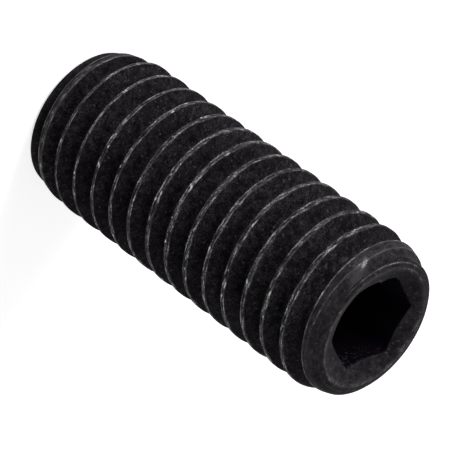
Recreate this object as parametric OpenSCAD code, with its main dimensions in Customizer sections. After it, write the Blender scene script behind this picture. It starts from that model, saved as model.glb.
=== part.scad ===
// Socket set screw: a headless screw, threaded from end to end, with a
// hexagon socket in one end and a plain flat point at the other.
// It stands on its point, with its axis on Z and the socket upwards.

/* [Screw] */
// Overall length, from the point to the socket end
screw_len = 12.2; // [8:0.1:30]
// Diameter over the crests of the thread
major_d = 4.93; // [4.1:0.01:6]

/* [Thread] */
// Pitch, the axial distance from one crest to the next
pitch = 0.8; // [0.6:0.05:1]
// Width of the flat along each crest
crest_flat = 0.12; // [0.08:0.01:0.2]
// Included angle of the groove
thread_angle = 60; // [50:1:72]
// Radius of the rounded root
root_r = 0.125; // [0.06:0.005:0.14]
// Angle round the axis at which the thread starts, which sets where its groove runs out
thread_start = 9; // [0:1:359]
// Distance from the socket end to the place where the groove has run out
runout_gap = 0.06; // [0:0.01:0.4]
// Height over which the groove loses its depth there
runout_len = 0.2; // [0.1:0.01:0.8]

/* [Ends] */
// Length over which the crests taper to full height, measured from either end
lead_len = 1; // [0.6:0.05:2]
// Rise of the socket end's outer edge above the root of the thread
socket_edge_rise = 0.1; // [0.02:0.01:0.2]
// Rise of the point's edge above the root of the thread
point_edge_rise = 0.14; // [0.02:0.01:0.2]
// Width of the edge chamfer, square to the axis
edge_w = 0.1; // [0.05:0.01:0.2]
// Height of the edge chamfer, along the axis
edge_h = 0.08; // [0.05:0.01:0.3]
// Width of the rim round the countersink
rim_w = 0.23; // [0.1:0.01:0.3]
// Fall of the rim from its inner edge to its outer edge
rim_drop = 0.07; // [0.01:0.005:0.1]

/* [Socket] */
// Hexagon width across flats
socket_af = 2.55; // [2:0.05:3]
// Depth of the hexagon below the socket end
socket_depth = 3; // [2:0.1:5]
// Depth that the rounding takes off each of the hexagon's corners
corner_cut = 0.035; // [0.01:0.005:0.1]
// Turn of the hexagon about the axis
socket_turn = 14; // [0:1:59]
// Included angle of the countersink at the mouth
sink_angle = 125; // [90:1:150]
// Included angle of the drilled bottom
drill_angle = 120; // [90:1:140]

/* [Hidden] */

// Most stations round one turn of the thread
MOST_STATIONS = 36;
// Most facets in the whole thread, which a long screw shares among its turns
MOST_FACETS = 12600;
// Straight pieces in each half of the rounded root
ROOT_STEPS = 2;
// Height to which the root rises over the small end of the lead as it runs out
RUNOUT_OVER = 0.02;
// Length by which the hexagon's cutter stands out of the socket end
CUT = 0.5;
$fn = 96;

major_r = major_d / 2;
half_angle = thread_angle / 2;

// The groove's outline: its root is an arc that ends where it is tangent to
// the flanks, and the flanks rise to the edges of the crest
root_sweep = 90 - half_angle;
root_rise = root_r * (1 - cos(root_sweep));
flank_width = (pitch - crest_flat) / 2 - root_r * sin(root_sweep);
thread_depth = root_rise + flank_width / tan(half_angle);
root_level = major_r - thread_depth;

// The ridges stand above the crests, halfway to where their flanks would
// meet, so that the blank gives every crest its true round surface
ridge_over = crest_flat / 4 / tan(half_angle);
ridge_half = crest_flat / 4;
ridge_r = major_r + ridge_over;

// The ends: radii of the faces, and of the small end of each tapered lead
rim_r = root_level + socket_edge_rise;
sink_r = rim_r - rim_w;
point_r = root_level + point_edge_rise;
socket_lead_r = rim_r + edge_w;
point_lead_r = point_r + edge_w;

// Height above the root of a point on its arc, and its distance from the middle
function arc_rise(k) = root_r * (1 - cos(root_sweep * k / ROOT_STEPS));
function arc_run(k) = root_r * sin(root_sweep * k / ROOT_STEPS);

// One pitch of the ridge as [z, radius], from the middle of one root to just
// short of the middle of the next
ridge_outline = [
    for (k = [0 : ROOT_STEPS]) [arc_run(k) - pitch / 2, root_level + arc_rise(k)],
    [-ridge_half, ridge_r],
    [ridge_half, ridge_r],
    for (k = [ROOT_STEPS : -1 : 1]) [pitch / 2 - arc_run(k), root_level + arc_rise(k)]
];

// Turns of the modelled thread, and stations round each of them
turns = ceil(screw_len / pitch + 3);
stations = min(MOST_STATIONS, floor(MOST_FACETS / turns / len(ridge_outline) / 2));

// How far the groove whose root lies at height z has run out: 0 at full
// depth, 1 where nothing is left of it
function runout(z) =
    min(max((z - screw_len + runout_gap + runout_len) / runout_len, 0), 1);

// Radius of a point of the outline after that share of the groove has filled up
runout_r = socket_lead_r + RUNOUT_OVER;
function risen(r, share) = max(r, r + (runout_r - r) * share);

// A rod with the full thread along its whole length, from a pitch or more
// below the point to a pitch or more past the socket end. The outline is
// carried round the axis, station by station, as it climbs by one pitch a
// turn, and each turn's last point is joined to the next turn's first. Near
// the socket end the groove on either side of the ridge fills up and runs out.
module threaded_rod() {
    steps = len(ridge_outline);
    last = stations * turns;
    function climb(i) = pitch * (i / stations - 2);
    function at(i, k) = i * steps + k;

    outlines = [
        for (i = [0 : last], p = ridge_outline)
            let (
                a = thread_start + 360 * i / stations,
                root_z = climb(i) + sign(p[0]) * pitch / 2,
                r = risen(p[1], runout(root_z))
            )
            [r * cos(a), r * sin(a), climb(i) + p[0]]
    ];
    foot = len(outlines);
    crown = foot + 1;

    ridge = [
        for (i = [0 : last - 1], k = [0 : steps - 2])
            [at(i, k), at(i, k + 1), at(i + 1, k + 1), at(i + 1, k)]
    ];
    root = [
        for (i = [0 : last - stations - 1])
            let (above = i + stations)
            [at(i, steps - 1), at(above, 0), at(above + 1, 0), at(i + 1, steps - 1)]
    ];

    lower_edge = [
        for (i = [stations : -1 : 0]) at(i, 0),
        for (k = [1 : steps - 1]) at(0, k)
    ];
    upper_edge = [
        for (i = [last - stations : last]) at(i, steps - 1),
        for (k = [steps - 2 : -1 : 0]) at(last, k)
    ];
    function fan(tip, edge) = [
        for (i = [0 : len(edge) - 1]) [tip, edge[i], edge[(i + 1) % len(edge)]]
    ];

    polyhedron(
        concat(outlines, [[0, 0, climb(0)], [0, 0, climb(last)]]),
        concat(ridge, root, fan(foot, lower_edge), fan(crown, upper_edge))
    );
}

// The turned blank: it gives the crests their surface, tapers them towards
// either end, and chamfers the edges
module blank() {
    rim_z = screw_len - rim_drop;
    rotate_extrude()
        polygon([
            [0, 0],
            [point_r, 0],
            [point_lead_r, edge_h],
            [major_r, lead_len],
            [major_r, screw_len - lead_len],
            [socket_lead_r, rim_z - edge_h],
            [rim_r, rim_z],
            [sink_r, screw_len],
            [0, screw_len]
        ]);
}

// The hexagon socket with its rounded corners, its drilled bottom and the
// countersink at its mouth
module socket() {
    flat_r = socket_af / 2;
    corner_r = flat_r / cos(30) - corner_cut;
    floor_z = screw_len - socket_depth;
    drill_h = flat_r / tan(drill_angle / 2);
    sink_h = sink_r / tan(sink_angle / 2);

    translate([0, 0, floor_z])
        intersection() {
            rotate([0, 0, socket_turn])
                cylinder(h = socket_depth + CUT, r = flat_r / cos(30), $fn = 6);
            cylinder(h = socket_depth + CUT, r = corner_r);
        }
    translate([0, 0, floor_z - drill_h])
        cylinder(h = drill_h, r1 = 0, r2 = flat_r);
    translate([0, 0, screw_len - sink_h])
        cylinder(h = sink_h, r1 = 0, r2 = sink_r);
}

module set_screw() {
    color("#2c2a2c")
        difference() {
            intersection() {
                threaded_rod();
                blank();
            }
            socket();
        }
}

set_screw();
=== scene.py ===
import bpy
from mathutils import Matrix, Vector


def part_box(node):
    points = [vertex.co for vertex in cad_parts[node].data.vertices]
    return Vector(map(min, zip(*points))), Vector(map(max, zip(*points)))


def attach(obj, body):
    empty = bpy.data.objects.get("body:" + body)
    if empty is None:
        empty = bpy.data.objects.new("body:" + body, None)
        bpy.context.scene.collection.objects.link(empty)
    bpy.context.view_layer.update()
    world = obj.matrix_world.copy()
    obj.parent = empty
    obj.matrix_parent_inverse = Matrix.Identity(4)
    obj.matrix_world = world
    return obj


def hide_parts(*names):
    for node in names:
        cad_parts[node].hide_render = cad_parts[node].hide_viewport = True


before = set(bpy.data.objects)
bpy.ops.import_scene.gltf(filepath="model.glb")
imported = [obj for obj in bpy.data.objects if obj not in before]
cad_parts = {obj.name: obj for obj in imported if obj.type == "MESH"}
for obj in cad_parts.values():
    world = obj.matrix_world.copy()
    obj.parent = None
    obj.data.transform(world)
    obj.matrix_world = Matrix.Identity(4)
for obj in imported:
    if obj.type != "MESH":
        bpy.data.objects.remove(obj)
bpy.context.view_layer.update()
NODE = "set_screw"
NODE_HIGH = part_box(NODE)[1]

import math

import bmesh
import bpy
from mathutils import Matrix, Vector, noise

bl_info = {
    "name": "Socket Set Screw",
    "version": (1, 0, 0),
    "blender": (4, 5, 0),
    "location": "View3D > Sidebar > Set Screw",
    "description": "Builds a black oxide socket set screw and the stage that it stands on",
    "category": "Add Mesh",
}

MM = 0.001


# -------- settings

def length(name, description, default):
    """A length that a user may change, in metres."""
    return bpy.props.FloatProperty(
        name=name, description=description, default=default, min=0, precision=6, unit="LENGTH")


def turn(name, description, degrees):
    """An angle that a user may change, written in degrees."""
    return bpy.props.FloatProperty(
        name=name, description=description, default=math.radians(degrees), subtype="ANGLE")


def share(name, description, default):
    """A plain number from 0 to 1."""
    return bpy.props.FloatProperty(
        name=name, description=description, default=default, min=0, max=1, subtype="FACTOR")


def tint(name, description, default):
    """A colour, as linear light."""
    return bpy.props.FloatVectorProperty(
        name=name, description=description, default=default, size=3, min=0, max=1,
        subtype="COLOR")


class ThreadSettings(bpy.types.PropertyGroup):
    """Sizes of the screw's thread."""

    screw_length: length("Length", "From the flat point to the socket end", NODE_HIGH.z)
    crest_diameter: length("Crest Diameter", "Diameter over the crests", 2 * NODE_HIGH.x)
    pitch: length("Pitch", "From one crest to the next", 0.8 * MM)
    crest_flat: length("Crest Flat", "Width of the flat along each crest", 0.12 * MM)
    groove_angle: turn("Groove Angle", "Angle between the groove's two flanks", 60)
    root_radius: length("Root Radius", "Radius of the rounded root", 0.125 * MM)
    start: turn("Start", "Angle round the axis at which the thread starts", 9)
    runout_gap: length("Run-out Gap", "From the socket end to where the groove is gone", 0.08 * MM)
    runout_length: length(
        "Run-out Length", "Height over which the groove loses its depth there", 0.3 * MM)
    seam: length("Crest Seam", "Depth of the seam that rolling leaves along the crest", 0.012 * MM)


class EndSettings(bpy.types.PropertyGroup):
    """Sizes of the tapered leads, chamfers and rim."""

    lead_length: length("Lead Length", "Length over which the crests taper", 1.0 * MM)
    socket_edge_rise: length(
        "Socket Edge Rise", "Rise of the socket end's edge above the thread's root", 0.10 * MM)
    point_edge_rise: length(
        "Point Edge Rise", "Rise of the point's edge above the thread's root", 0.14 * MM)
    edge_width: length("Edge Width", "Width of the edge chamfer, square to the axis", 0.10 * MM)
    edge_height: length("Edge Height", "Height of the edge chamfer", 0.08 * MM)
    rim_width: length("Rim Width", "Width of the rim round the countersink", 0.23 * MM)
    rim_drop: length("Rim Drop", "Fall of the rim to its outer edge", 0.07 * MM)
    unevenness: length("Unevenness", "How much the crests vary in height", 0.02 * MM)


class SocketSettings(bpy.types.PropertyGroup):
    """Sizes of the hexagon socket."""

    across_flats: length("Across Flats", "Width of the hexagon across its flats", 2.55 * MM)
    depth: length("Depth", "Depth of the hexagon below the socket end", 3.0 * MM)
    hexagon_turn: turn("Turn", "Turn of the hexagon about the axis", 14)
    sink_angle: turn("Countersink Angle", "Angle of the countersink at the mouth", 125)
    drill_angle: turn("Drill Angle", "Angle of the drilled bottom", 120)
    corner_cut: length("Corner Cut", "Depth rounded off each of the hexagon's corners", 0.035 * MM)
    shift_x: length("Shift X", "How far the socket was struck off the axis, towards -X", 0.07 * MM)
    shift_y: length("Shift Y", "How far the socket was struck off the axis, towards +Y", 0.056 * MM)


class FinishSettings(bpy.types.PropertyGroup):
    """Colours of the black oxide and of the steel that shows where it has rubbed."""

    oxide: tint("Oxide", "Colour of the sound black oxide", (0.0044, 0.0031, 0.0052))
    oxide_pale: tint("Pale Oxide", "Colour of the dry, dusty oxide", (0.0455, 0.0422, 0.0450))
    # Painted shade: the oxide inside the socket is given this darker colour
    socket_shade: tint("Socket Shade", "Colour of the socket's oxide, darkened as painted shade", (0.0034, 0.0022, 0.0043))
    litter: tint("Litter", "Colour of the litter in the socket", (0.05, 0.05, 0.05))
    worn: tint("Worn Steel", "Colour where the oxide has rubbed thin", (0.41, 0.40, 0.405))
    rubbing: share("Rubbing", "How far the crests and the rim have rubbed", 0.6)


class StageSettings(bpy.types.PropertyGroup):
    """Colours of the floor, and the light from all round."""

    floor: tint("Floor", "Colour of the floor", (0.93, 0.93, 0.93))
    floor_shade: tint("Floor Shade", "Colour that clouds the floor a little", (0.85, 0.85, 0.85))
    floor_lift: share("Floor Lift", "Whiteness that the floor shows the camera itself", 0.66)
    sky: share("Sky", "Strength of the light from all round", 0.20)


GROUPS = {
    "screw_thread": ThreadSettings,
    "screw_ends": EndSettings,
    "screw_socket": SocketSettings,
    "screw_finish": FinishSettings,
    "screw_stage": StageSettings,
}


# -------- plain sums

def clamp(x):
    """The value, held between 0 and 1."""
    return min(max(x, 0), 1)


def gauss(x, width):
    """A smooth bump, 1 at 0 and small beyond its width."""
    return math.exp(-(x / width) ** 2)


def wrapped(angle):
    """The same angle between minus and plus half a turn."""
    return (angle + math.pi) % math.tau - math.pi


def soft_min(a, b, softness):
    """The smaller of two values, rounded off where they meet."""
    lower, gap = min(a, b), abs(a - b)
    return lower - softness * math.log1p(math.exp(-gap / softness))


def ease(start, end, x):
    """0 at start and before it, 1 at end and past it, with a smooth change between."""
    t = clamp((x - start) / (end - start))
    return t * t * (3 - 2 * t)


def mix(a, b, share_b):
    """A value between a and b."""
    return a + (b - a) * share_b


def spread(first, last, steps):
    """Evenly spaced values from first to just before last."""
    return [first + (last - first) * i / steps for i in range(steps)]


def angle_of(v):
    """Angle round the axis of a point of a mesh."""
    return math.atan2(v.co.y, v.co.x)


# From here to the materials, lengths are in millimetres and angles in radians.
def in_radians(*degrees):
    """Angles that are written in degrees."""
    return tuple(math.radians(angle) for angle in degrees)


# Noise is sampled on a drum of this radius, squeezed along the axis, with its own stretch
# of the drum for each seed
DRUM_R, DRUM_SQUEEZE, SEED_STEP = 2.4, 0.6, 17.3


def wander(angle, z, scale, seed):
    """Smooth noise round the screw, about -1 to 1, drawn out along the thread."""
    p = Vector((math.cos(angle) * DRUM_R, math.sin(angle) * DRUM_R,
                z * DRUM_SQUEEZE + seed * SEED_STEP))
    return noise.noise(p * scale)


# -------- shape of the screw

# How softly the thread meets the blank, the lip the groove, and a flat of the socket its
# corner
SOFT_EDGE, SOFT_LIP, SOFT_CORNER = 0.004, 0.015, 0.02
# The lip round the point dips by this much, this far past the groove's start, over this turn
LIP_DIP = 0.07
LIP_DIP_TURN, LIP_DIP_SPREAD = in_radians(11, 18)
# Rounds in which the edge of a crest is found
EDGE_ROUNDS = 4


class Shape:
    """The screw's sizes and outline, from the scene's settings."""

    def __init__(self, scene):
        thread, ends, socket = scene.screw_thread, scene.screw_ends, scene.screw_socket
        self.length = thread.screw_length / MM
        self.crest_r = thread.crest_diameter / 2 / MM
        self.pitch = thread.pitch / MM
        self.crest_half = thread.crest_flat / 2 / MM
        half_angle = thread.groove_angle / 2
        self.root_radius = thread.root_radius / MM
        self.start = thread.start
        self.seam = thread.seam / MM
        self.runout_gap = thread.runout_gap / MM
        self.runout_length = thread.runout_length / MM

        self.slope = math.tan(half_angle)
        sweep = math.pi / 2 - half_angle
        self.arc_half = self.root_radius * math.sin(sweep)
        rise = self.root_radius * (1 - math.cos(sweep))
        flank_run = self.pitch / 2 - self.arc_half - self.crest_half
        self.root_r = self.crest_r - flank_run / self.slope - rise

        top = self.length
        edge_width, edge_height = ends.edge_width / MM, ends.edge_height / MM
        self.rim_r = self.root_r + ends.socket_edge_rise / MM
        point_r = self.root_r + ends.point_edge_rise / MM
        self.point_lead_r = point_r + edge_width
        self.sink_r = self.rim_r - ends.rim_width / MM
        self.rim_z = top - ends.rim_drop / MM
        self.shoulder_z = self.rim_z - edge_height
        self.foot_z = edge_height
        lead = ends.lead_length / MM
        self.blank = [
            (0, point_r), (self.foot_z, self.point_lead_r), (lead, self.crest_r),
            (top - lead, self.crest_r), (self.shoulder_z, self.rim_r + edge_width),
            (self.rim_z, self.rim_r)]
        self.unevenness = ends.unevenness / MM
        last_root = top - self.runout_gap - self.pitch / 2
        self.runout_turn = self.start + math.tau * (last_root / self.pitch % 1)

        self.flat_r = socket.across_flats / 2 / MM
        self.socket_floor = top - socket.depth / MM
        self.hexagon_turn = socket.hexagon_turn
        self.sink_slope = 1 / math.tan(socket.sink_angle / 2)
        self.drill_slope = 1 / math.tan(socket.drill_angle / 2)
        self.corner_r = self.flat_r / math.cos(math.pi / 6) - socket.corner_cut / MM
        self.shift = (-socket.shift_x / MM, socket.shift_y / MM)

    def past_end(self, angle, turn_on=0.0):
        """How far an angle lies past the place where the groove ends, or past a place turned
        on from there, within half a turn either way."""
        return wrapped(angle - self.runout_turn - turn_on)

    def blank_radius(self, z, angle):
        """Radius to which the crests rise: the turned blank, a little uneven from rolling."""
        points = self.blank
        z = min(max(z, points[0][0]), points[-1][0])
        after = next(i for i, point in enumerate(points) if z <= point[0])
        (z0, r0), (z1, r1) = points[max(after - 1, 0)], points[max(after, 1)]
        even = min(z, self.length - z) / self.pitch
        low = 0.5 + 0.5 * wander(angle, z, scale=1.3, seed=2)
        return r0 + (r1 - r0) * (z - z0) / (z1 - z0) - self.unevenness * low * min(even, 1)

    def ridge_centre(self, angle, z):
        """Height of the ridge's middle nearest to z, at that angle."""
        climb = self.pitch * (angle - self.start) / math.tau
        return climb + self.pitch * round((z - climb) / self.pitch)

    def depth_left(self, centre, side):
        """Share of its depth that the groove on one side of a ridge still has."""
        root_z = centre + side * self.pitch / 2
        return clamp((self.length - root_z - self.runout_gap) / self.runout_length)

    def groove_radius(self, across):
        """Radius of the endless thread, at a distance from the ridge's middle."""
        across = abs(across)
        if across <= self.crest_half:
            return self.crest_r
        from_root = self.pitch / 2 - across
        if from_root >= self.arc_half:
            return self.crest_r - (across - self.crest_half) / self.slope
        return self.root_r + self.root_radius - math.sqrt(
            self.root_radius ** 2 - from_root ** 2)

    def lip_radius(self, z, angle):
        """Radius of the lip round the point's edge, lower where the groove starts."""
        groove_start = wrapped(angle - self.start - math.pi - LIP_DIP_TURN)
        dip = LIP_DIP * gauss(groove_start, LIP_DIP_SPREAD)
        return self.point_lead_r - dip - max(z - self.foot_z, 0) / self.slope

    def crest_edge(self, centre, side, angle):
        """Half width of the crest flat on one side, wider where the blank is slimmer."""
        half = self.crest_half
        for _ in range(EDGE_ROUNDS):
            fall = self.crest_r - self.blank_radius(centre + side * half, angle)
            half = self.crest_half + self.slope * fall
        return half

    def hexagon_radius(self, angle):
        """Distance from the socket's middle to its wall, with the corners rounded off."""
        sixth = math.pi / 3
        off_flat = (angle - self.hexagon_turn) % sixth - sixth / 2
        return soft_min(
            self.flat_r / math.cos(off_flat), self.corner_r + SOFT_CORNER / 2, SOFT_CORNER)


# -------- mesh of the thread

# Rows from mid-groove to mid-crest: on the root, on the lower and upper parts of the flank,
# and on the crest; and the lower part's share of the flank
ROOT_ROWS, LOW_ROWS, HIGH_ROWS, CREST_ROWS = 4, 3, 7, 4
LOW_FLANK = 0.45
# Spacing of the rows beside a crest's edge, and how many keep it where the crest is wider
EDGE_ROW, FIRM_ROWS = 0.012, 4.5
# Stations round each turn, and turns modelled past either end
STATIONS, TURNS_PAST = 144, 2
# Points this near to each other are one: between the turns, and in the whole screw
TURN_MERGE, MERGE = 1e-4, 1e-3
# Points this near to a cutting plane are on it, and what rounding may take off a length
ON_PLANE, ROUNDING = 1e-5, 1e-6


def half_ridge(shape):
    """Distances from mid-groove up to mid-crest, one for each row of the thread's mesh."""
    root = -shape.pitch / 2
    arc_end = root + shape.arc_half
    crest = -shape.crest_half
    knee = arc_end + LOW_FLANK * (crest - arc_end)
    return (
        spread(root, arc_end, ROOT_ROWS) + spread(arc_end, knee, LOW_ROWS)
        + spread(knee, crest - EDGE_ROW, HIGH_ROWS)
        + [crest - EDGE_ROW, crest, crest + EDGE_ROW]
        + spread(crest + 2 * EDGE_ROW, 0, CREST_ROWS - 1))


def roll_thread(shape):
    """A tube with the thread all along it, over a turn longer than the screw at either end."""
    half = half_ridge(shape)
    rows = half + [0.0] + [-q for q in reversed(half)]
    bm = bmesh.new()
    ca, sa = math.cos(shape.hexagon_turn), math.sin(shape.hexagon_turn)
    first = shape.ridge_centre(shape.hexagon_turn, -TURNS_PAST * shape.pitch)
    chain = []
    for q in rows:
        r = shape.groove_radius(q)
        chain.append(bm.verts.new((r * ca, r * sa, first + q)))
    for a, b in zip(chain, chain[1:]):
        bm.edges.new((a, b))
    bmesh.ops.spin(
        bm, geom=bm.verts[:] + bm.edges[:], cent=(0, 0, 0), axis=(0, 0, 1),
        dvec=(0, 0, shape.pitch / STATIONS), angle=math.tau, steps=STATIONS,
        use_merge=False, use_duplicate=False)
    one_turn = bm.verts[:] + bm.edges[:] + bm.faces[:]
    turns = math.ceil(shape.length / shape.pitch) + 2 * TURNS_PAST
    for n in range(1, turns):
        copy = bmesh.ops.duplicate(bm, geom=one_turn)["geom"]
        bmesh.ops.translate(
            bm, vec=(0, 0, n * shape.pitch),
            verts=[v for v in copy if isinstance(v, bmesh.types.BMVert)])
    bmesh.ops.remove_doubles(bm, verts=bm.verts[:], dist=TURN_MERGE)
    return bm


def fit_rows_to_crests(bm, shape):
    """Slides the rows along the axis, so that two of them follow the crest's real edges."""
    arc_end = shape.pitch / 2 - shape.arc_half
    for v in bm.verts:
        angle = angle_of(v)
        centre = shape.ridge_centre(angle, v.co.z)
        q = v.co.z - centre
        side = 1 if q > 0 else -1
        q = abs(q)
        if q >= arc_end - ROUNDING:
            continue
        edge = shape.crest_edge(centre, side, angle)
        if edge >= arc_end:
            continue
        inset = shape.crest_half - q
        if inset < 0:
            stretch = (arc_end - edge) / (arc_end - shape.crest_half)
            moved = edge - inset * stretch
        elif inset < FIRM_ROWS * EDGE_ROW:
            moved = edge - inset
        else:
            moved = q * edge / shape.crest_half
        v.co.z = centre + side * moved


def cut_ring(bm, z, above=False, below=False):
    """Cuts the mesh along a level plane, and can clear what lies above or below it."""
    bmesh.ops.bisect_plane(
        bm, geom=bm.verts[:] + bm.edges[:] + bm.faces[:], dist=ON_PLANE,
        plane_co=(0, 0, z), plane_no=(0, 0, 1), clear_outer=above, clear_inner=below)


# -------- marks of wear

MARKS = "crest", "edge", "line", "land", "dust"

# Heights between which the wear at the point changes to that of the rest
POINT_FADE, POINT_CLEAR = 2, 4
# A crest counts as wide from one of these multiples of the crest flat to the other, and
# near the point only up to a share
WIDE_FROM, WIDE_TO, WIDE_AT_POINT = 1.2, 1.8, 0.4
# Share of a narrow crest's width that has rubbed bright, at the point and past it, the
# heights between which it changes, and how much it wanders
RUBBED_AT_POINT, RUBBED, RUBBED_WANDER = 0.5, 0.95, 0.3
RUBBED_FROM, RUBBED_TO = 1.5, 5.5
# How strongly a wide crest is marked as a narrow one is
WIDE_AS_CREST = 0.06
# Half width of the fine line where the rubbing ends, in rows, and its strength on the
# lower side
FINE_ROWS, LOWER_FINE = 1.5, 0.8
# The seam along a crest: how far it stands open, how much that wanders, its half width as
# a share of the crest's, and how much of the brightness it takes
SEAM_OPEN, SEAM_WANDER, SEAM_WIDTH, SEAM_DARK = 0.3, 1.6, 0.45, 0.7

# The line along the edges of a wide crest: its width in rows, and its strength on the
# lower edge, on the upper one, and on both near the point
LINE_ROWS = 3
LOWER_LINE, UPPER_LINE, POINT_LINE = 0.85, 0.6, 2.6
# A bright streak in the lower line: its strength, its place past the groove's end, half its
# length, and where it has faded
STREAK = 2.4
STREAK_TURN, STREAK_HALF, STREAK_END = in_radians(33, 4.5, 6.75)

# How strongly wide crests are marked as turned, before the groove's end and past it, and the
# angles between which that changes
LAND_BEFORE, LAND_PAST, LAND_CHANGE = 0.6, 1.6, (-0.8, 1.0)

# The upper crests have kept some of their oxide: how much, the heights between which that
# begins, and round which place and how far
SHELTER, SHELTER_FROM, SHELTER_TO = 0.35, 5, 7
SHELTER_TURN, SHELTER_SPREAD = in_radians(-35, 28)

# The turned line round the last land: its depth below the socket end, half its width, and
# its rings, as shares of that
LINE_DEPTH, LINE_HALF, LINE_RINGS = 0.35, 0.036, (-1, -0.5, 0.5, 1)
# Its strength, what is added at its start, the turn in which most of that is lost, and the
# angles past the groove's end between which it begins and fades
LINE_FAINT, LINE_START, LINE_LOSS = 0.35, 0.45, math.radians(25)
LINE_BEGINS, LINE_FADES = (-0.25, -0.15), (1.4, 1.8)

# The scuff where the groove ends: its place, its depth below the socket end, its slant, its
# size, how sharp its edges are, and its strength
SCUFF_TURN, SCUFF_DEPTH, SCUFF_SLANT = math.radians(-5.8), 0.30, 0.5
SCUFF_LENGTH, SCUFF_WIDTH = 0.15, 0.05
SCUFF_EDGES, SCUFF_BRIGHT = (0.15, 0.7), 3.4
# The dust beside it: how far along and below it lies, its size and its strength
HAZE_ALONG, HAZE_BELOW = 0.35, 0.05
HAZE_LENGTH, HAZE_WIDTH, HAZE = 0.5, 0.12, 1.2

# Where lint clings in the last groove: turns past the groove's end, and depths below the
# socket end; and the size and strength of each piece
LINT_TURNS = in_radians(-4, -1, 9)
LINT_DEPTHS = 0.95, 0.97, 0.95
LINT_WIDTH, LINT_HEIGHT, LINT = 0.06, 0.025, 1.6

# Painted light round the point: paler oxide near the floor, carried by the dust mark, for light
# from the ground below; its strength, and how far up it reaches
POINT_PAINTED_LIGHT, POINT_PAINTED_LIGHT_HEIGHT = 0.4, 0.2


class Marks:
    """The marks that the mesh carries for its materials, each a number at every point:
    crest and edge for the narrow crests, line for the lines along turned edges, land for
    turned surfaces, dust for scuffs and litter, and also for painted light round the point
    and on the countersink."""

    def __init__(self, bm):
        layers = bm.verts.layers.float
        self.layers = {name: layers.new(name) for name in MARKS}

    def put(self, v, **values):
        for name, layer in self.layers.items():
            v[layer] = values.get(name, 0.0)


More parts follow.
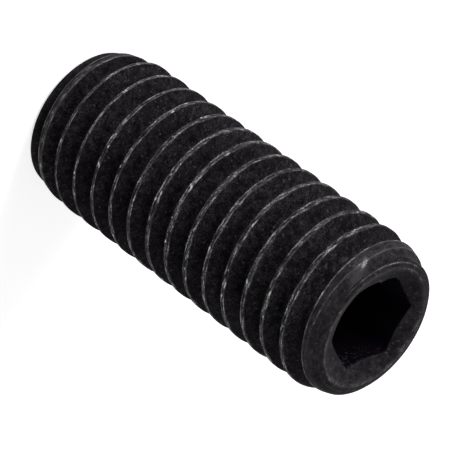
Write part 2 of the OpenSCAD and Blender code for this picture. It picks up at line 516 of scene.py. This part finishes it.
class Spot:
    """A place on the thread: how far across from the ridge's middle it lies and on which
    side, the crest's half width there and how much of that is bright, and how far the place
    is on a crest, and that crest a narrow one."""

    def __init__(self, shape, v):
        self.shape = shape
        self.z, self.angle = v.co.z, angle_of(v)
        centre = shape.ridge_centre(self.angle, self.z)
        self.across = abs(self.z - centre)
        self.side = 1 if self.z > centre else -1
        self.edge = shape.crest_edge(centre, self.side, self.angle)
        self.depth_left = shape.depth_left(centre, self.side)

        wide = ease(WIDE_FROM * shape.crest_half, WIDE_TO * shape.crest_half, self.edge)
        self.narrow = 1 - wide * mix(WIDE_AT_POINT, 1, ease(POINT_FADE, POINT_CLEAR, self.z))
        self.at_point = ease(POINT_CLEAR, POINT_FADE, self.z)
        rubbed = mix(RUBBED_AT_POINT, RUBBED, ease(RUBBED_FROM, RUBBED_TO, self.z))
        rubbed += RUBBED_WANDER * wander(self.angle, self.z, scale=1.7, seed=3)
        self.bright = self.edge * mix(1, rubbed, max(self.narrow, self.at_point))
        self.on_crest = clamp((self.bright - self.across) / EDGE_ROW + 0.5)

    def past_end(self, turn_on=0.0):
        """How far it lies past the groove's end, or past a place turned on from there."""
        return self.shape.past_end(self.angle, turn_on)

    def above(self, depth):
        """How far it lies above a depth below the socket end."""
        return self.z - (self.shape.length - depth)

    def radius(self):
        """Radius of the thread: the groove, shallower at its end and its start, in the blank."""
        blank = self.shape.blank_radius(self.z, self.angle)
        groove = self.shape.groove_radius(self.across)
        if groove < blank:
            groove = blank + (groove - blank) * self.depth_left
        groove = -soft_min(-groove, -self.shape.lip_radius(self.z, self.angle), SOFT_LIP)
        return soft_min(groove, blank + SOFT_EDGE * math.log(2), SOFT_EDGE)

    def seam(self):
        """How far the seam that rolling leaves along a crest stands open."""
        here = clamp(SEAM_OPEN + SEAM_WANDER * wander(self.angle, self.z, scale=1.1, seed=1))
        beside = max(0, 1 - self.across / (SEAM_WIDTH * self.edge))
        return beside * self.on_crest * self.narrow * here

    def rubbed(self):
        """How far the crests have rubbed here: less where the upper ones kept their oxide."""
        kept = gauss(self.past_end(SHELTER_TURN), SHELTER_SPREAD)
        return 1 - SHELTER * kept * ease(SHELTER_FROM, SHELTER_TO, self.z)

    def fine_line(self):
        """Strength of the line where the rubbing of a narrow crest ends."""
        away = abs(self.across - self.bright)
        fine = max(0, 1 - away / (FINE_ROWS * EDGE_ROW)) * self.narrow
        return fine if self.side > 0 else fine * LOWER_FINE

    def edge_line(self):
        """Strength of the line along either edge of a wide crest."""
        inset = (self.edge - self.across) / EDGE_ROW
        line = clamp(min(1 + inset, 1 + LINE_ROWS - inset)) * (self.depth_left > 0)
        away = abs(self.past_end(STREAK_TURN))
        streak = (self.side < 0) * (1 - ease(STREAK_HALF, STREAK_END, away))
        strength = mix(LOWER_LINE if self.side < 0 else UPPER_LINE, POINT_LINE, self.at_point)
        return line * (1 - self.narrow) * (strength + STREAK * streak)

    def turned_line(self):
        """Strength of the line turned round the last land: it starts at the groove's end and
        fades round the screw."""
        on = self.past_end()
        strength = LINE_FAINT + LINE_START * math.exp(-max(on, 0) / LINE_LOSS)
        strength *= ease(*LINE_BEGINS, on) * (1 - ease(*LINE_FADES, on))
        return strength * clamp(2 - 2 * abs(self.above(LINE_DEPTH)) / LINE_HALF)

    def land(self):
        """How far it belongs to a turned surface: a wide crest, or the last land."""
        strength = mix(LAND_BEFORE, LAND_PAST, ease(*LAND_CHANGE, self.past_end()))
        land = self.on_crest * (1 - self.narrow) * strength
        if self.depth_left < 1 and self.side > 0:
            land = max(land, 1 - self.depth_left)
        return land

    def scuff(self):
        """Strength of the slanting scuff at the groove's end, and of the dust beside it."""
        along = self.past_end(SCUFF_TURN) * self.shape.rim_r
        up = self.above(SCUFF_DEPTH) - SCUFF_SLANT * along
        blade = gauss(along, SCUFF_LENGTH) * gauss(up, SCUFF_WIDTH)
        haze = gauss(along - HAZE_ALONG, HAZE_LENGTH) * gauss(up + HAZE_BELOW, HAZE_WIDTH)
        return SCUFF_BRIGHT * ease(*SCUFF_EDGES, blade), HAZE * haze

    def lint(self):
        """Strength of the lint that clings here."""
        return LINT * sum(
            gauss(self.past_end(turn_on) * self.shape.crest_r, LINT_WIDTH)
            * gauss(self.above(depth), LINT_HEIGHT)
            for turn_on, depth in zip(LINT_TURNS, LINT_DEPTHS))


def set_radii(bm, shape, marks):
    """Gives every point of the thread its radius and its marks."""
    for v in bm.verts:
        spot = Spot(shape, v)
        seam, rubbed = spot.seam(), spot.rubbed()
        scale = (spot.radius() - shape.seam * seam) / math.hypot(v.co.x, v.co.y)
        v.co.x *= scale
        v.co.y *= scale

        crest = spot.on_crest * mix(WIDE_AS_CREST, 1, spot.narrow) * (1 - SEAM_DARK * seam)
        blade, haze = spot.scuff()
        # The point's lower part is painted paler here, as painted light, through the dust mark
        haze += spot.lint() + POINT_PAINTED_LIGHT * gauss(spot.z, POINT_PAINTED_LIGHT_HEIGHT)
        marks.put(v, crest=rubbed * crest, edge=rubbed * spot.fine_line(), land=spot.land(),
                  line=max(spot.edge_line(), blade, spot.turned_line()), dust=haze)


# -------- socket and point

# How near to its height a ring's points lie, the radius of the last ring before a pole, and
# the number of the socket's material
ON_RING, POLE_R, INSIDE = 1e-3, 0.05, 1

# Insets of the rings over the rim, and which of them is its rubbed line
RIM_LINE = 0.07
RIM_INSETS = 0.02, RIM_LINE - 0.03, RIM_LINE, RIM_LINE + 0.03, 0.15
# The rubbed line: its place past the groove's end, how far round it spreads and its
# strength, and its spread and strength on the far side
RIM_TURN, RIM_SPREAD = in_radians(-28, 30)
RIM_BRIGHT, RIM_FAR_SPREAD, RIM_FAR = 3.0, 1.0, 0.5
# The rim's inner edge: the last rings before it, how far it is rounded down, and the
# strength of the line along it at each of them
RIM_END_RINGS = (0.04, 0.2), (0.012, 0.7)
RIM_EDGE, RIM_EDGE_LINE = 0.004, 0.8

# Rings from there to the hexagon's mouth: shares of the way, the line's strength, and
# whether the burrs reach them
SINK_RINGS = (0.06, 0.5, 0), (0.2, 0.1, 0), (0.4, 0, 0), (0.6, 0, 0), (0.8, 0, 0), (0.97, 0, 1)
# Rings under the mouth: depths, the dust's strength, and whether the burrs reach them
MOUTH_RINGS = (0.012, 1.0, 1), (0.06, 1.0, 0), (0.3, 0.9, 0), (0.6, 0.6, 0)
# Rings down the rest of the wall: the depth of the first, and how many there are above the
# last; and how far the drilled bottom's rings lie on the way to its tip
WALL_DEPTH, WALL_RINGS, DRILL_RINGS = 1, 3, (0.35, 0.7)

# How far the countersink and the socket count as turned
SOCKET_LAND = 0.6
# Where the countersink is painted paler, as painted light, and where dust lies on the mouth
# and the wall, as turns past the groove's end, and how far round both spread; then the
# painted light's strength on the countersink, and the dust's on the wall down to a depth
SINK_PAINTED_LIGHT_TURN, MOUTH_DUST_TURN, WALL_DUST_TURN, DUST_SPREAD = in_radians(15, 130, 110, 50)
SINK_PAINTED_LIGHT, WALL_DUST, WALL_DUST_DEPTH = 0.8, 0.4, 1.5
# How far the dust, and on the countersink the painted light, brightens an edge
DUST_AND_LIGHT_BRIGHT = 0.25
# The edges are duller round this turn past the groove's end: by how much, and how far round
SHADE_TURN, SHADE, SHADE_SPREAD = math.radians(162), 0.4, 0.7
# Burrs that the broach dragged in: turns past the groove's end and sizes, half their
# length, the size from which they shine, and how strongly
BURRS = (math.radians(-52), 0.06), (math.radians(-31), 0.16)
BURR_SPREAD, BURR_CLEAR, BURR_BRIGHT = math.radians(2), 0.02, 20
# The torn edge between them: how far it wanders, and the drum that its noise is sampled on
TEAR, TEAR_DRUM_R, TEAR_DRUM_Z = 0.012, 12, 0.5

# Insets of the rings across the flat point, and the strength of the line along its edge
POINT_INSETS, POINT_EDGE_LINE = (0.015, 0.06, 0.4, 1.2), 0.8


def open_loop(bm, z):
    """The open edges that lie at height z."""
    return [e for e in bm.edges
            if e.is_boundary and all(abs(v.co.z - z) < ON_RING for v in e.verts)]


def around(edges):
    """The points of a loop of edges."""
    return {v for e in edges for v in e.verts}


def step_ring(bm, edges, place, material=0):
    """Extrudes an open loop of edges, puts each new point where place says for its angle,
    and returns the new open loop."""
    made = bmesh.ops.extrude_edge_only(bm, edges=edges)["geom"]
    for item in made:
        if isinstance(item, bmesh.types.BMVert):
            item.co = place(angle_of(item))
        elif isinstance(item, bmesh.types.BMFace):
            item.material_index = material
    return [e for e in made if isinstance(e, bmesh.types.BMEdge) and e.is_boundary]


def circle(r, z, middle=(0, 0)):
    """A place for each angle on a level circle."""
    return lambda a: (middle[0] + r * math.cos(a), middle[1] + r * math.sin(a), z)


def close_pole(bm, edges, z, middle=(0, 0), material=0):
    """Draws an open loop in to one point."""
    edges = step_ring(bm, edges, circle(POLE_R, z, middle), material)
    bmesh.ops.pointmerge(bm, verts=list(around(edges)), merge_co=(*middle, z))


def ragged(shape, angle):
    """How far the broached edge of the hexagon is dragged inwards at an angle."""
    burrs = sum(size * gauss(shape.past_end(angle, turn_on), BURR_SPREAD)
                for turn_on, size in BURRS)
    return burrs + TEAR * noise.noise(
        (TEAR_DRUM_R * math.cos(angle), TEAR_DRUM_R * math.sin(angle), TEAR_DRUM_Z))


def rim_line(shape, angle):
    """How far the rim's outer edge has rubbed, most beside the place where the groove ends."""
    away = shape.past_end(angle, RIM_TURN)
    near, far = gauss(away, RIM_SPREAD), gauss(wrapped(away - math.pi), RIM_FAR_SPREAD)
    return RIM_BRIGHT * near + RIM_FAR * far


def cut_socket(bm, shape, marks):
    """Steps from the thread's last ring over the rim, down the countersink and the hexagon."""
    top, sink_r, floor = shape.length, shape.sink_r, shape.socket_floor
    loop = open_loop(bm, shape.rim_z)
    for v in around(loop):
        marks.put(v, land=1.0)

    def ring(place, line=0.0, land=SOCKET_LAND, dust=0.0, dust_turn=0.0, burr=0, material=0):
        nonlocal loop
        loop = step_ring(bm, loop, place, material)
        for v in around(loop):
            angle = angle_of(v)
            shaded = 1 - SHADE * gauss(shape.past_end(angle, SHADE_TURN), SHADE_SPREAD)
            bare = burr * BURR_BRIGHT * max(ragged(shape, angle) - BURR_CLEAR, 0)
            # On the countersink this mark is painted light, paler round its turn; lower down it is
            # dust
            dusty = dust * gauss(shape.past_end(angle, dust_turn), DUST_SPREAD)
            marks.put(v, line=line * shaded + bare + DUST_AND_LIGHT_BRIGHT * dusty, land=land, dust=dusty)

    fall = (top - shape.rim_z) / (shape.rim_r - sink_r)
    for inset in RIM_INSETS:
        r = shape.rim_r - inset
        ring(circle(r, top - (r - sink_r) * fall), land=1.0)
        if inset == RIM_LINE:
            for v in around(loop):
                marks.put(v, line=rim_line(shape, angle_of(v)), land=1.0)
    for out, line in RIM_END_RINGS:
        ring(circle(sink_r + out, top - out * fall), line)
    ring(circle(sink_r, top - RIM_EDGE), RIM_EDGE_LINE)

    def mouth(share_in, below=0.0, burr=0):
        """A place part of the way from the countersink's edge to the hexagon's mouth."""
        def place(a):
            r = shape.hexagon_radius(a) - burr * ragged(shape, a)
            x = mix(sink_r * math.cos(a), shape.shift[0] + r * math.cos(a), share_in)
            y = mix(sink_r * math.sin(a), shape.shift[1] + r * math.sin(a), share_in)
            z = top - RIM_EDGE - (sink_r - math.hypot(x, y)) * shape.sink_slope
            return x, y, z - below
        return place

    # The countersink is painted paler round one side: painted light, carried by the dust mark
    for share_in, line, burr in SINK_RINGS:
        ring(mouth(share_in, burr=burr), line, dust=SINK_PAINTED_LIGHT, dust_turn=SINK_PAINTED_LIGHT_TURN,
             burr=burr)
    for below, dust, burr in MOUTH_RINGS:
        ring(mouth(1, below, burr), dust=dust, dust_turn=MOUTH_DUST_TURN, material=INSIDE)
    for z in spread(top - WALL_DEPTH, floor, WALL_RINGS) + [floor]:
        ring(lambda a: (*mouth(1)(a)[:2], z), dust=WALL_DUST * (z > top - WALL_DUST_DEPTH),
             dust_turn=WALL_DUST_TURN, material=INSIDE)
    ring(circle(shape.flat_r - RIM_EDGE, floor, shape.shift), material=INSIDE)
    tip = floor - shape.flat_r * shape.drill_slope
    for part in DRILL_RINGS:
        ring(circle(shape.flat_r * (1 - part), mix(floor, tip, part), shape.shift),
             material=INSIDE)
    close_pole(bm, loop, tip, shape.shift, INSIDE)


def face_point(bm, marks):
    """Closes the flat point."""
    loop = open_loop(bm, 0)
    inner = min(math.hypot(v.co.x, v.co.y) for v in around(loop))
    for v in around(loop):
        marks.put(v, line=POINT_EDGE_LINE, land=1.0)
    for inset in POINT_INSETS:
        loop = step_ring(bm, loop, circle(inner - inset, 0))
        for v in around(loop):
            marks.put(v, land=1.0)
    close_pole(bm, loop, 0.0)


# Edges that turn by less than this are smooth
CREASE = math.radians(38)


def build_screw(scene):
    """The finished screw's mesh, in metres."""
    shape = Shape(scene)
    bm = roll_thread(shape)
    fit_rows_to_crests(bm, shape)
    cut_ring(bm, shape.rim_z, above=True)
    cut_ring(bm, 0.0, below=True)
    for z in (shape.shoulder_z, shape.foot_z):
        cut_ring(bm, z)
    for part in LINE_RINGS:
        cut_ring(bm, shape.length - LINE_DEPTH + part * LINE_HALF)
    marks = Marks(bm)
    set_radii(bm, shape, marks)
    cut_socket(bm, shape, marks)
    face_point(bm, marks)
    bmesh.ops.remove_doubles(bm, verts=bm.verts[:], dist=MERGE)
    bmesh.ops.recalc_face_normals(bm, faces=bm.faces[:])
    for e in bm.edges:
        e.smooth = not e.is_manifold or e.calc_face_angle(0) < CREASE
    for f in bm.faces:
        f.smooth = True
    bmesh.ops.scale(bm, vec=(MM, MM, MM), verts=bm.verts[:])
    mesh = bpy.data.meshes.new("screw_body")
    bm.to_mesh(mesh)
    bm.free()
    return mesh


# -------- materials

def node(tree, kind, **values):
    """Adds a shader node, with values for its own properties."""
    made = tree.nodes.new(kind)
    for name, value in values.items():
        setattr(made, name, value)
    return made


def put(tree, made, socket, value):
    """Sets a socket to a value, or links it to another node's output."""
    if isinstance(value, bpy.types.NodeSocket):
        tree.links.new(value, made.inputs[socket])
    else:
        made.inputs[socket].default_value = value


def reckon(tree, operation, *values):
    """A Math node's result."""
    made = node(tree, "ShaderNodeMath", operation=operation)
    for i, value in enumerate(values):
        put(tree, made, i, value)
    return made.outputs[0]


def times(tree, a, b):
    """Two values, multiplied."""
    return reckon(tree, "MULTIPLY", a, b)


def plus(tree, a, b):
    """Two values, added."""
    return reckon(tree, "ADD", a, b)


def scaled(tree, value, factor, offset):
    """A value times a factor, plus an offset."""
    return reckon(tree, "MULTIPLY_ADD", value, factor, offset)


def remap(tree, value, low, high, to_low=0.0, to_high=1.0):
    """Stretches a value's range, and holds it inside."""
    made = node(tree, "ShaderNodeMapRange", clamp=True)
    for i, item in enumerate((value, low, high, to_low, to_high)):
        put(tree, made, i, item)
    return made.outputs[0]


def object_place(tree):
    """Where a point lies on its object, in metres."""
    return node(tree, "ShaderNodeTexCoord").outputs["Object"]


def cloud(tree, where, scale, detail, roughness=0.5, stretch=None):
    """Noise over the surface, features about 1 / scale across."""
    if stretch:
        mapping = node(tree, "ShaderNodeMapping")
        put(tree, mapping, "Vector", where)
        put(tree, mapping, "Scale", stretch)
        where = mapping.outputs[0]
    made = node(tree, "ShaderNodeTexNoise")
    put(tree, made, "Vector", where)
    put(tree, made, "Scale", scale)
    put(tree, made, "Detail", detail)
    put(tree, made, "Roughness", roughness)
    return made.outputs["Fac"]


def mark(tree, name):
    """A mark stored on the mesh."""
    return node(tree, "ShaderNodeAttribute", attribute_name=name).outputs["Fac"]


# The Mix node's sockets for colours
MIX_AMOUNT, MIX_FIRST, MIX_SECOND, MIX_RESULT = 0, 6, 7, 2


def blend_colours(tree, amount, first, second):
    """Mixes two colours, each a socket or red, green and blue."""
    made = node(tree, "ShaderNodeMix", data_type="RGBA")
    put(tree, made, MIX_AMOUNT, amount)
    for socket, colour in ((MIX_FIRST, first), (MIX_SECOND, second)):
        linked = isinstance(colour, bpy.types.NodeSocket)
        put(tree, made, socket, colour if linked else (*colour, 1.0))
    return made.outputs[MIX_RESULT]


def make_grain():
    """A shader group: the fine clouding of the oxide, its dusty specks and its tooth."""
    group = bpy.data.node_groups.new("oxide_grain", "ShaderNodeTree")
    for in_out, names in (("INPUT", ("Cloud Scale", "Contrast")),
                          ("OUTPUT", ("Clouds", "Dust", "Specks", "Height"))):
        for name in names:
            group.interface.new_socket(name, in_out=in_out, socket_type="NodeSocketFloat")
    source = node(group, "NodeGroupInput").outputs
    result = node(group, "NodeGroupOutput")
    where = object_place(group)
    coarse = cloud(group, where, scale=source["Cloud Scale"], detail=4, roughness=0.62)
    fine = cloud(group, where, scale=22000, detail=2, roughness=0.6)
    specks = cloud(group, where, scale=9000, detail=1)
    clouds = remap(group, coarse, low=reckon(group, "SUBTRACT", 0.5, source["Contrast"]),
                   high=plus(group, 0.5, source["Contrast"]))
    put(group, result, "Clouds", clouds)
    put(group, result, "Dust", remap(group, fine, low=0.38, high=0.66))
    put(group, result, "Specks", remap(group, specks, low=0.66, high=0.74))
    put(group, result, "Height", plus(group, clouds, times(group, fine, 0.8)))
    return group


# How little the oxide shines
OXIDE_SHINE = 0.01
# The oxide outside and in the socket: scale and contrast of its clouds, roughness from the
# dark ones to the pale ones, and strength and height of its bumps, the height in metres
CLOUDS = dict(scale=5200, contrast=0.13)
DRY = dict(rough_from=0.45, rough_to=0.62, bump=0.6, height=0.006 * MM, **CLOUDS)
SOCKET_GRAIN = dict(rough_from=0.6, rough_to=0.8, bump=0.3, height=0.004 * MM, **CLOUDS)
# How brightly a narrow crest, the line beside it and turned edges rub: a factor for the
# streaks, and what shows between them; then the small knobs, and the sum that is bare steel
CREST_WEAR, EDGE_WEAR, LINE_WEAR = (1.12, 0.01), (1.7, 0.18), (0.6, 0.14)
KNOB_WEAR, FULL_WEAR = 1.3, 1.2
# How metallic bare steel is
BARE_METAL = 0.7


def new_material(name):
    """A new material, its node tree and its shader."""
    material = bpy.data.materials.new(name)
    material.use_nodes = True
    tree = material.node_tree
    return material, tree, tree.nodes["Principled BSDF"]


def lay_grain(tree, shader, grain, scale, contrast, rough_from, rough_to, bump, height):
    """Gives a material the oxide's grain, and returns what the grain puts out."""
    placed = node(tree, "ShaderNodeGroup", node_tree=grain)
    put(tree, placed, "Cloud Scale", scale)
    put(tree, placed, "Contrast", contrast)
    spots = placed.outputs
    put(tree, shader, "Specular IOR Level", OXIDE_SHINE)
    put(tree, shader, "Roughness", remap(
        tree, spots["Clouds"], low=0.0, high=1.0, to_low=rough_from, to_high=rough_to))
    bumps = node(tree, "ShaderNodeBump")
    put(tree, bumps, "Strength", bump)
    put(tree, bumps, "Distance", height)
    put(tree, bumps, "Height", spots["Height"])
    put(tree, shader, "Normal", bumps.outputs[0])
    return spots


def make_oxide(scene, grain):
    """Black oxide over rolled steel, rubbed thin along the crests and the rim."""
    finish = scene.screw_finish
    material, tree, shader = new_material("black_oxide_steel")
    spots = lay_grain(tree, shader, grain, **DRY)
    where = object_place(tree)
    broad = remap(tree, cloud(tree, where, scale=700, detail=2),
                  low=0.35, high=0.65, to_low=0.7, to_high=1.3)
    streak = cloud(tree, where, scale=2600, detail=3, roughness=0.65, stretch=(1, 1, 6))
    thread = cloud(tree, where, scale=18000, detail=2, roughness=0.7, stretch=(1, 1, 2))
    nodule = remap(tree, cloud(tree, where, scale=3800, detail=1, stretch=(1, 1, 2)),
                   low=0.68, high=0.74)

    # Where the steel shows
    crest, edge, land = mark(tree, "crest"), mark(tree, "edge"), mark(tree, "land")
    rubbed = reckon(tree, "POWER", remap(tree, streak, low=0.385, high=0.645), 2)
    rubbed = times(tree, rubbed, remap(tree, thread, low=0.38, high=0.62, to_high=2.0))
    on_crest = times(tree, crest, scaled(tree, rubbed, *CREST_WEAR))
    on_edge = times(tree, edge, scaled(tree, rubbed, *EDGE_WEAR))
    on_line = times(tree, mark(tree, "line"), scaled(tree, rubbed, *LINE_WEAR))
    bare = reckon(tree, "MAXIMUM", reckon(tree, "MAXIMUM", on_crest, on_edge), on_line)
    knobs = times(tree, nodule, reckon(tree, "MAXIMUM", crest, edge))
    bare = plus(tree, times(tree, bare, finish.rubbing), times(tree, knobs, KNOB_WEAR))
    bare = remap(tree, bare, low=0.0, high=FULL_WEAR)

    # How pale the oxide is: its grain, a thin film on turned surfaces, and the dust mark, which
    # is dust and also painted light round the point and on the countersink
    pale = times(tree, scaled(tree, spots["Dust"], factor=0.8, offset=0.1),
                 scaled(tree, spots["Clouds"], factor=0.8, offset=0.15))
    pale = times(tree, pale, scaled(tree, land, factor=-0.5, offset=1.0))
    film = scaled(tree, spots["Clouds"], factor=0.28, offset=0.18)
    pale = times(tree, plus(tree, pale, times(tree, land, film)), broad)
    patchy = remap(tree, thread, low=0.35, high=0.65, to_low=0.3, to_high=1.3)
    dust = times(tree, mark(tree, "dust"), patchy)
    pale = plus(tree, pale, plus(tree, dust, spots["Specks"]))

    oxide = blend_colours(tree, pale, finish.oxide, finish.oxide_pale)
    put(tree, shader, "Base Color", blend_colours(tree, bare, oxide, finish.worn))
    put(tree, shader, "Metallic", times(tree, bare, BARE_METAL))
    return material


def make_shaded_socket(scene, grain):
    """The oxide inside the socket, coloured darker as painted shade in the recess, with litter on
    it.
    """
    finish = scene.screw_finish
    material, tree, shader = new_material("shaded_socket")
    lay_grain(tree, shader, grain, **SOCKET_GRAIN)
    where = object_place(tree)
    grit = remap(tree, cloud(tree, where, scale=16000, detail=1), low=0.62, high=0.72)
    scratch = remap(tree, cloud(tree, where, scale=1600, detail=1, stretch=(1, 1, 16)),
                    low=0.70, high=0.72)
    litter = times(tree, reckon(tree, "MAXIMUM", grit, scratch), mark(tree, "dust"))
    # The socket's darker base colour is painted shade; the specks and scratches mixed into it are
    # litter
    put(tree, shader, "Base Color", blend_colours(tree, litter, finish.socket_shade, finish.litter))
    return material


def seen_by_camera(tree):
    """1 where the camera sees a thing or its reflection, 0 where it only gives light."""
    path = node(tree, "ShaderNodeLightPath").outputs
    return reckon(tree, "MAXIMUM", path["Is Camera Ray"], reckon(
        tree, "MAXIMUM", path["Is Glossy Ray"], path["Is Transmission Ray"]))


FLOOR_ROUGHNESS, FLOOR_SHINE = 0.9, 0.1


def make_paper(scene):
    """The plain white floor. The camera sees it lifted to white, shadows still fall on it, and
    from below it is clear, so that the point can be looked at."""
    stage = scene.screw_stage
    material, tree, shader = new_material("white_floor")
    tooth = cloud(tree, object_place(tree), scale=900, detail=2)
    shade = remap(tree, tooth, low=0.3, high=0.7, to_high=0.04)
    put(tree, shader, "Base Color", blend_colours(tree, shade, stage.floor, stage.floor_shade))
    put(tree, shader, "Roughness", FLOOR_ROUGHNESS)
    put(tree, shader, "Specular IOR Level", FLOOR_SHINE)
    put(tree, shader, "Emission Color", (1, 1, 1, 1))
    put(tree, shader, "Emission Strength", times(tree, seen_by_camera(tree), stage.floor_lift))
    below = node(tree, "ShaderNodeNewGeometry").outputs["Backfacing"]
    put(tree, shader, "Alpha", reckon(tree, "SUBTRACT", 1.0, below))
    return material


# -------- pieces and stage

def link(scene, name, data, *materials):
    """A new object at the origin."""
    made = bpy.data.objects.new(name, data)
    scene.collection.objects.link(made)
    for material in materials:
        data.materials.append(material)
    return made


class SETSCREW_OT_body(bpy.types.Operator):
    """Build the threaded body with its hexagon socket, in place of the plain one"""

    bl_idname = "setscrew.body"
    bl_label = "Build Screw Body"

    def execute(self, context):
        scene = context.scene
        grain = make_grain()
        body = link(scene, "screw_body", build_screw(scene), make_oxide(scene, grain),
                    make_shaded_socket(scene, grain))
        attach(body, "root")
        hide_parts(NODE)
        return {"FINISHED"}


# Half the floor's width in metres, and how far below the point it lies in millimetres
FLOOR_HALF, FLOOR_GAP = 0.6, 0.005

# What the camera looks at and its distance in millimetres, its tilt and roll in degrees, its
# sensor and lens in millimetres, and its range in metres
CAMERA_AIM = (-0.0151, 0.1715, 6.3122)
CAMERA_DISTANCE = 98.339
CAMERA_ELEVATION = 34.864
CAMERA_ROLL = -126.22
CAMERA_SENSOR, CAMERA_LENS = 36.0, 267.14
CAMERA_NEAR, CAMERA_FAR = 0.005, 10.0

# The lamps' directions from the middle of the screw, their watts, and their distance and
# width in metres
LAMPS = {
    "key_lamp": ((-1, -0.3, 0.3), 0.215),
    "high_lamp": ((-0.7, -0.2, 1), 0.06),
    "fill_lamp": ((0.6, -0.3, 1), 0.05),
}
LAMP_DISTANCE, LAMP_SIZE = 0.16, 0.08


def facing(at, towards):
    """The place of a camera or a lamp that looks in a direction."""
    return Matrix.Translation(at) @ towards.to_track_quat("-Z", "Y").to_matrix().to_4x4()


def place_camera(scene):
    """The camera looks down on the socket end, turned so that the screw lies across its view."""
    data = bpy.data.cameras.new("camera")
    data.sensor_width, data.lens = CAMERA_SENSOR, CAMERA_LENS
    data.clip_start, data.clip_end = CAMERA_NEAR, CAMERA_FAR
    camera = link(scene, "camera", data)
    rise = math.radians(CAMERA_ELEVATION)
    back = Vector((0, -math.cos(rise), math.sin(rise)))
    place = (Vector(CAMERA_AIM) + back * CAMERA_DISTANCE) * MM
    roll = Matrix.Rotation(-math.radians(CAMERA_ROLL), 4, "Z")
    camera.matrix_world = facing(place, -back) @ roll
    scene.camera = camera


def lay_floor(scene):
    """Lays the floor under the point."""
    bm = bmesh.new()
    bmesh.ops.create_grid(bm, x_segments=4, y_segments=4, size=FLOOR_HALF)
    bmesh.ops.translate(bm, vec=(0, 0, -FLOOR_GAP * MM), verts=bm.verts[:])
    mesh = bpy.data.meshes.new("floor")
    bm.to_mesh(mesh)
    bm.free()
    link(scene, "floor", mesh, make_paper(scene))


def hang_lamps(scene):
    """Hangs square soft lamps that face the middle of the screw."""
    middle = Vector((0, 0, NODE_HIGH.z / 2))
    for name, (direction, watts) in LAMPS.items():
        data = bpy.data.lights.new(name, "AREA")
        data.shape, data.size = "SQUARE", LAMP_SIZE
        data.energy = watts
        out = Vector(direction).normalized()
        link(scene, name, data).matrix_world = facing(middle + out * LAMP_DISTANCE, -out)


def light_sky(scene):
    """Even light from all round, which the camera itself sees as white."""
    world = bpy.data.worlds.new("studio")
    world.use_nodes = True
    scene.world = world
    tree = world.node_tree
    sky = tree.nodes["Background"]
    put(tree, sky, "Color", (1, 1, 1, 1))
    put(tree, sky, "Strength", remap(
        tree, seen_by_camera(tree), low=0.0, high=1.0, to_low=scene.screw_stage.sky))


class SETSCREW_OT_stage(bpy.types.Operator):
    """Set out the floor, the lights and the camera"""

    bl_idname = "setscrew.stage"
    bl_label = "Set Out Stage"

    def execute(self, context):
        scene = context.scene
        lay_floor(scene)
        hang_lamps(scene)
        light_sky(scene)
        place_camera(scene)
        scene.view_settings.view_transform = "Standard"
        return {"FINISHED"}


OPERATORS = (SETSCREW_OT_body, SETSCREW_OT_stage)


class SETSCREW_PT_sidebar(bpy.types.Panel):
    """Sizes and colours of the screw, and the steps that build it"""

    bl_idname = "SETSCREW_PT_sidebar"
    bl_label = "Set Screw"
    bl_space_type = "VIEW_3D"
    bl_region_type = "UI"
    bl_category = "Set Screw"

    def draw(self, context):
        for group in GROUPS:
            settings = getattr(context.scene, group)
            box = self.layout.box()
            for name in settings.__annotations__:
                box.prop(settings, name)
        for operator in OPERATORS:
            self.layout.operator(operator.bl_idname)


CLASSES = (*GROUPS.values(), *OPERATORS, SETSCREW_PT_sidebar)


def register():
    for item in CLASSES:
        bpy.utils.register_class(item)
    for name, group in GROUPS.items():
        setattr(bpy.types.Scene, name, bpy.props.PointerProperty(type=group))


def unregister():
    for name in GROUPS:
        delattr(bpy.types.Scene, name)
    for item in reversed(CLASSES):
        bpy.utils.unregister_class(item)


def main():
    register()
    bpy.ops.setscrew.body()
    bpy.ops.setscrew.stage()


if __name__ == "__main__":
    main()
